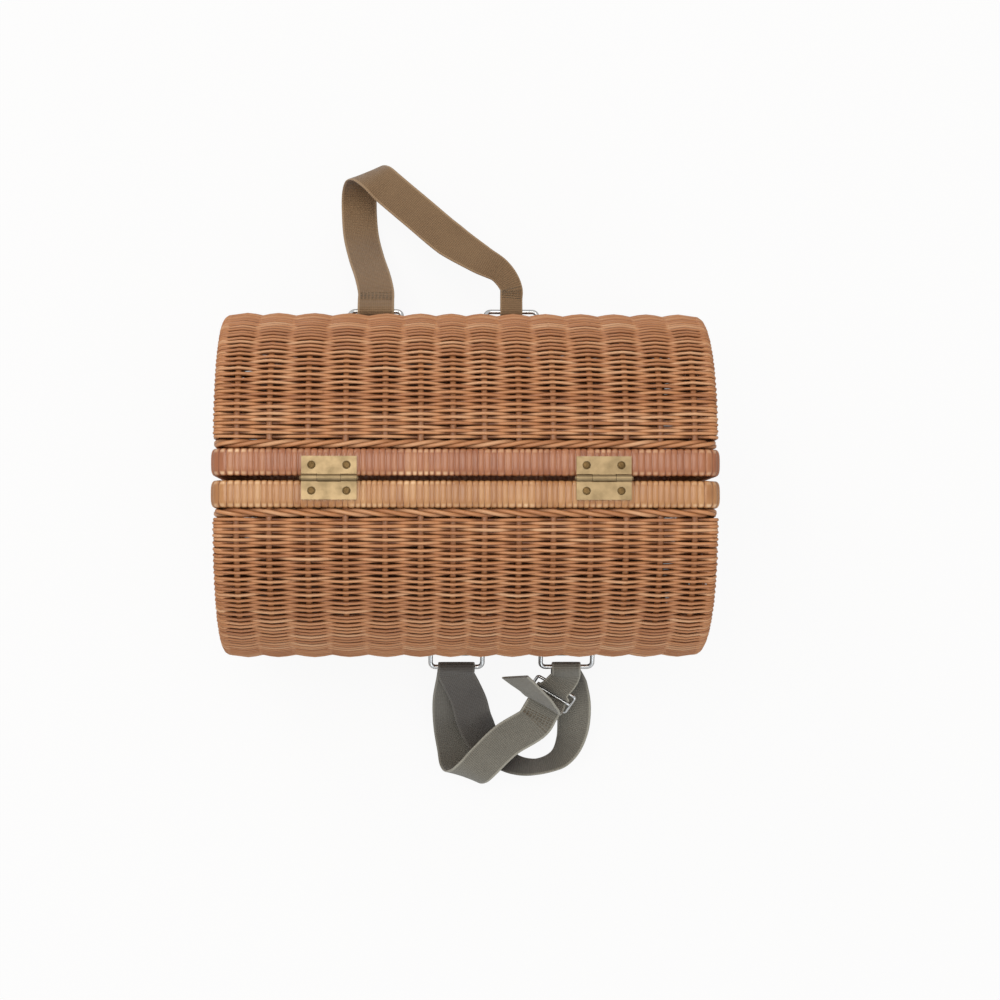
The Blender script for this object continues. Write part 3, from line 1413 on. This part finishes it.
@dataclass
class ShoulderStrap:
    """The adjustable webbing strap on the base, with its slide.

    Attributes:
        seam: the seam's y.
        rings: the left and the right ring.
        bar_radius: of the slide's wire.
        pitch: between the slide's three bars.
        slide_width: between the slide's short sides.
        slide_corner: radius of its wire's middle line at the corners.
        slide_distance: of the slide's middle from the right ring's bar.
        slide_shift: of the same place along x.
        bunched_width: of the webbing in the right ring.
    """

    seam: float
    rings: tuple[RingAndTab, RingAndTab]
    bar_radius: float = 1.2 * MM
    pitch: float = 9 * MM
    slide_width: float = 31 * MM
    slide_corner: float = 2 * MM
    slide_distance: float = 32 * MM
    slide_shift: float = 3 * MM
    bunched_width: float = 22 * MM

    def __post_init__(self) -> None:
        """Works out the slide's own directions and its place."""
        self.web = Webbing(self.seam, Half.BASE.value, (self.rings[0].bar, self.rings[1].bar))
        place = self.web.placed
        self.along = unit(place(0.41, -0.69, 0.6))
        self.across = unit(place(0.69, 0.41, 0))
        up = np.cross(self.along, self.across)
        self.up = up * np.sign(up[2])
        self.centre = self.rings[1].bar + X_AXIS * self.slide_shift - self.along * self.slide_distance

    def on_slide(self, along: float, up: float) -> Array:
        """A place in the slide's own directions."""
        return self.centre + self.along * along + self.up * up

    def build(self) -> tuple[bpy.types.Object, bpy.types.Object]:
        """The webbing, from its loose tail to its sewn end, and its stitches."""
        web, place = self.web, self.web.placed
        gap, narrow = web.gap, self.bunched_width
        left, right = self.rings
        r = web.turn_radius(self.bar_radius) + gap
        ring_r = web.turn_radius(right.wire)
        web.run(
            [
                [2, 7, 88, 0.8, 0.05, 0.6],
                [9, 13, 82, 0.82, 0.15, 0.5],
                [17, 20, 74, 0.84, 0.3, 0.35],
                [24, 27, 65, 0.84, 0.45, 0.1],
            ]
        )
        root = math.sqrt(0.5)
        threaded = [
            (-r - gap, 4 * r, web.width),
            (-r, 0, web.width),
            (-r * root, -r * root, web.width),
            (0, -r, web.width),
            (r * root, -r * root, web.width),
            (r, 0, web.width),
            (self.pitch / 2 + gap, r, web.width),
            (self.pitch, r + gap, narrow),
        ]
        for along, up, width in threaded:
            web.stations.append((self.on_slide(along, up), self.across, width))
        steep_away, steep_up = place(0, 0.6, -0.8), place(0, 0.8, 0.6)
        web.stations.append((right.bar + steep_up * ring_r + steep_away * 10 * MM, X_AXIS, narrow))
        web.turn_round(right.bar, steep_away, steep_up, X_AXIS, ring_r, narrow)
        web.run(
            [
                [42, 2, 57, 1, 0, 0, 22],
                [46, 13, 44, 0.97, 0.05, 0.2],
                [50, 29, 35, 0.93, 0.1, 0.35],
                [50, 47, 27, 0.85, 0.15, 0.5],
                [46, 63, 21, 0.65, 0.25, 0.75],
                [37, 75, 16, 0.35, 0.3, 0.9],
                [22, 80.5, 14.5, 0.05, 0.35, 0.93],
                [6, 79, 14, -0.15, 0.45, 0.85],
                [-7, 71, 14.5, -0.4, 0.6, 0.65],
                [-18, 61, 17, -0.65, 0.65, 0.35],
                [-27, 44, 29, -0.98, 0.12, 0.1],
                [-32, 27, 44, -1, 0, 0],
                [-38, 14, 57, -1, 0, 0],
                [-42, 6, 66, -1, 0, 0],
            ]
        )
        away, up = unit(place(0, 0.7, -0.71)), unit(place(0, 0.71, 0.7))
        web.turn_round(left.bar, away, up, -X_AXIS, ring_r, web.width)
        web.run([[-43, 8, 53, -1, 0, 0], [-46, 28, 30, -1, 0, 0], [-45, 50, 9, -1, 0.1, 0]])
        web.fold([-42, 68, 3.5], [0.1, 1], [0.68, -0.73], 16 * MM)
        web.run([[-3, 58, 41, -0.71, -0.7, 0]])
        diagonal = web.stations[-1][0]
        sewn_bar = self.on_slide(-self.pitch, 0)
        downhill = diagonal - sewn_bar
        downhill = unit(downhill - (downhill @ self.across) * self.across)
        over = np.cross(self.across, downhill)
        over = over * np.sign(over[2])
        web.stations.extend(web.sewn_end(sewn_bar, downhill, over, -self.across, self.bar_radius, web.width))
        unworn = [
            (Side.BACK, 24, 35, 0.85),
            (Side.BACK, 16, 20, 0.7),
            (Side.FACE, 22, 27, 0.8),
            (Side.FACE, 28.5, 34, 0.6),
            (Side.FACE, 35, 42, 0.4),
        ]
        strap = web.mesh("shoulder_webbing", unworn)
        threads = web.stitches("shoulder_stitches", [web.last_sewn_span()])
        return strap, threads

    def slide(self) -> bpy.types.Object:
        """The slide: a rounded frame of wire with a middle bar."""
        skin = Skin()
        width = self.slide_width + 2 * self.bar_radius
        sizes = (width, 2 * self.pitch, self.slide_corner, self.bar_radius)
        wire_loop(skin, self.centre, self.across, self.along, *sizes)
        reach = np.linspace(-width / 2, width / 2, 9)
        path = self.centre + reach[:, None] * self.across
        normals = np.broadcast_to(self.up, path.shape)
        skin.tubes(path[None], normals[None], self.bar_radius, 14)
        return skin.piece("wire_slide")


# Studio


@dataclass
class Studio:
    """Camera, floor, world and lamps. The eye and its target are measured from the seam.

    Attributes:
        seam: the seam's y.
        eye: where the camera is.
        target: where it looks.
        view_degrees: the angle that its picture spans.
        lamp_target_height: of the place that the lamps face.
        dark_shift: of the floor's dark patch from the seam, along y.
        dark_half_sizes: of that patch along x and y, within its soft edges.
        dark_fades: widths of the soft edges along x and y.
        floor_pale: the floor's colour.
        floor_dark: its colour in the dark patch.
    """

    seam: float
    eye: tuple[float, float, float] = (-0.033, -0.072, 1.850)
    target: tuple[float, float, float] = (0.023, -0.015, 0.250)
    view_degrees: float = 24.27
    lamp_target_height: float = 0.13
    dark_shift: float = 4 * MM
    dark_half_sizes: tuple[float, float] = (158 * MM, 95 * MM)
    dark_fades: tuple[float, float] = (28 * MM, 38 * MM)
    floor_pale: tuple = srgb(196, 192, 188)
    floor_dark: tuple = srgb(70, 44, 28)

    def camera(self) -> None:
        """Puts the camera over the hinges, looking down, with +Y up in the picture."""
        data = bpy.data.cameras.new("camera")
        data.angle = math.radians(self.view_degrees)
        data.clip_end = 20
        camera = bpy.data.objects.new("camera", data)
        eye = Vector(self.eye) + Vector((0, self.seam, 0))
        target = Vector(self.target) + Vector((0, self.seam, 0))
        back = (eye - target).normalized()
        right = Vector((0, 1, 0)).cross(back).normalized()
        up = back.cross(right)
        matrix = camera.matrix_world.copy()
        for row in range(3):
            for column, vector in enumerate((right, up, back, eye)):
                matrix[row][column] = vector[row]
        camera.matrix_world = matrix
        bpy.context.scene.collection.objects.link(camera)
        bpy.context.scene.camera = camera

    def floor(self) -> None:
        """A wide pale floor that is nearly white to the camera and keeps a soft shadow.

        Under the bag it is dark and fades out, so that it doesn't shine through the weave.
        """
        skin = Skin()
        grid = np.linspace(-4, 4, 9)
        x, y = np.meshgrid(grid, grid, indexing="ij")
        points = np.stack([y, x, np.full_like(x, -0.5 * MM)], axis=-1)
        skin.grid(points, np.zeros(points.shape), (False, False))
        plane = skin.piece("floor")
        s = Shader("studio_floor")
        path = s.node("ShaderNodeLightPath")
        glow = s.node("ShaderNodeEmission", inputs={"Color": (1, 1, 1, 1), "Strength": 1.02})
        x, y, _ = s.parts(s.place())
        along, beside = x.abs(), (y - self.seam - self.dark_shift).abs()
        half_sizes, fades = self.dark_half_sizes, self.dark_fades
        under = (1.0 - along.above(half_sizes[0], fades[0])) * (1.0 - beside.above(half_sizes[1], fades[1]))
        s.finish(Base_Color=s.mix(under, self.floor_pale, self.floor_dark), Roughness=0.8)
        share = Value(s, path.outputs["Is Camera Ray"]) * 0.9 * (1.0 - under)
        mixed = s.node("ShaderNodeMixShader", inputs={0: share, 1: s.surface.outputs[0], 2: glow.outputs[0]})
        s.tree.links.new(mixed.outputs[0], s.output.inputs["Surface"])
        plane.data.materials.append(s.material)

    def world(self) -> None:
        """A pale world that is white to the camera."""
        world = bpy.data.worlds.new("studio")
        bpy.context.scene.world = world
        world.use_nodes = True
        tree = world.node_tree
        tree.nodes.clear()
        output = tree.nodes.new("ShaderNodeOutputWorld")
        path = tree.nodes.new("ShaderNodeLightPath")
        soft = tree.nodes.new("ShaderNodeBackground")
        soft.inputs[0].default_value = (0.93, 0.96, 1.0, 1)
        soft.inputs[1].default_value = 0.68
        white = tree.nodes.new("ShaderNodeBackground")
        white.inputs[1].default_value = 1.0
        mix = tree.nodes.new("ShaderNodeMixShader")
        tree.links.new(path.outputs["Is Camera Ray"], mix.inputs[0])
        tree.links.new(soft.outputs[0], mix.inputs[1])
        tree.links.new(white.outputs[0], mix.inputs[2])
        tree.links.new(mix.outputs[0], output.inputs[0])

    def lamp(self, name: str, place: Sequence[float], size: float, power: float, colour: Rgb) -> None:
        """A square area lamp that faces the bag's middle."""
        data = bpy.data.lights.new(name, "AREA")
        data.size = size
        data.energy = power
        data.color = colour
        lamp = bpy.data.objects.new(name, data)
        lamp.location = place
        towards = Vector((0, self.seam, self.lamp_target_height)) - Vector(place)
        lamp.rotation_euler = towards.to_track_quat("-Z", "Y").to_euler()
        bpy.context.scene.collection.objects.link(lamp)

    def lamps(self) -> None:
        """A large soft lamp overhead, with a warm one beyond the lid and a cool one beyond the base."""
        self.lamp("overhead", (-0.3, 0.3, 2.6), 1.4, 26.0, (1.0, 0.97, 0.93))
        self.lamp("warm_side", (-1.2, 1.9, 1.6), 1.0, 14.0, (1.0, 0.93, 0.84))
        self.lamp("cool_side", (1.0, -1.9, 1.3), 1.0, 8.0, (0.88, 0.94, 1.0))


# Assembly


@dataclass
class Dresser:
    """Gives each piece its material, its body and the CAD nodes that it stands for."""

    frame: dict

    def dress(
        self,
        piece: bpy.types.Object,
        material: bpy.types.Material,
        body: str,
        slot: str,
        *nodes: str,
    ) -> None:
        """Finishes a new piece.

        Args:
            piece: the object.
            material: its finish.
            body: the CAD body that it rides on.
            slot: the record's material slot.
            nodes: CAD nodes that it replaces.
        """
        piece.data.materials.append(material)
        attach(piece, body)
        if nodes:
            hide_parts(*nodes)
        LOG.info("%s: %d faces on %s", piece.name, len(piece.data.polygons), body)

    def repaint(self, node: str, material: bpy.types.Material) -> None:
        """Gives a CAD node that stays a better material."""
        item = self.frame["nodes"][node]
        if item.material_slots:
            for held in item.material_slots:
                held.material = material
        else:
            item.data.materials.append(material)


def main() -> None:
    """Builds the pieces in order: basket, straps, metal, studio."""
    logging.basicConfig(level=logging.INFO)
    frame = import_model()
    basket = Basket.from_frame(frame)
    dresser = Dresser(frame)
    studio = Studio(basket.seam)
    studio.camera()

    rattan = StrandFinish().material()
    reddish = (srgb(126, 68, 38), srgb(162, 100, 62), srgb(190, 136, 92))
    golden = (srgb(140, 86, 46), srgb(178, 124, 74), srgb(206, 160, 108))
    canes = {
        Half.LID: WrapFinish("reddish_cane", *reddish).material(),
        Half.BASE: WrapFinish("golden_cane", *golden).material(),
    }
    brass = MetalFinish("plated_brass", srgb(156, 134, 100), srgb(124, 106, 76), 0.42).material()
    tarnished = MetalFinish("tarnished_brass", srgb(116, 92, 58), srgb(84, 66, 40), 0.45).material()
    steel = MetalFinish("polished_nickel", srgb(216, 216, 214), srgb(186, 186, 184), 0.2).material()
    leather = LeatherFinish().material()
    taupes = (srgb(148, 118, 84), srgb(92, 68, 44), srgb(164, 136, 104))
    khakis = (srgb(142, 137, 124), srgb(86, 81, 71), srgb(170, 165, 150))
    taupe = WebbingFinish("taupe_webbing", *taupes).material()
    khaki = WebbingFinish("khaki_webbing", *khakis).material()
    thread = LeatherFinish("sewing_thread", srgb(126, 110, 88), srgb(96, 82, 64)).material()

    rings: dict[str, RingAndTab] = {}
    for half in Half:
        word = half.word
        weave = Weave(basket, half)
        dresser.dress(weave.curved_side(), rattan, word, "wicker", f"{word}_curved_side")
        dresser.dress(weave.end(-1), rattan, word, "wicker", f"{word}_end_left")
        dresser.dress(weave.end(1), rattan, word, "wicker", f"{word}_end_right")
        dresser.dress(weave.stakes(), rattan, word, "wicker")
        rim = Rim(basket, half)
        dresser.dress(rim.wound_band(), canes[half], word, "cane", f"{word}_rim")
        dresser.dress(rim.twined_rows(), rattan, word, "wicker", f"{word}_wale")
        swing = "carry_handle" if half is Half.LID else "shoulder_sling"
        for hand in ("left", "right"):
            pair = RingAndTab(basket, half, hand)
            rings[f"{word}_{hand}"] = pair
            dresser.dress(pair.ring(), steel, swing, "steel", pair.ring_name)
            dresser.dress(pair.tab(), leather, word, "leather", pair.tab_name)
            dresser.repaint(f"{word}_rivet_{hand}", brass)

    webbing, threads = CarryHandle(basket.seam, (rings["lid_left"], rings["lid_right"])).build()
    dresser.dress(webbing, taupe, "carry_handle", "webbing", "carry_strap")
    dresser.dress(threads, thread, "carry_handle", "webbing")
    shoulder = ShoulderStrap(basket.seam, (rings["base_left"], rings["base_right"]))
    webbing, threads = shoulder.build()
    dresser.dress(webbing, khaki, "shoulder_sling", "webbing", "shoulder_strap")
    dresser.dress(threads, thread, "shoulder_sling", "webbing")
    dresser.dress(shoulder.slide(), steel, "shoulder_sling", "steel", "strap_slide")

    for node in frame["nodes"]:
        if node.startswith(("hinge_", "clasp_")):
            dresser.repaint(node, tarnished if "screw" in node else brass)

    studio.floor()
    studio.world()
    studio.lamps()
    bpy.context.scene.view_settings.view_transform = "Standard"


if __name__ == "__main__":
    main()
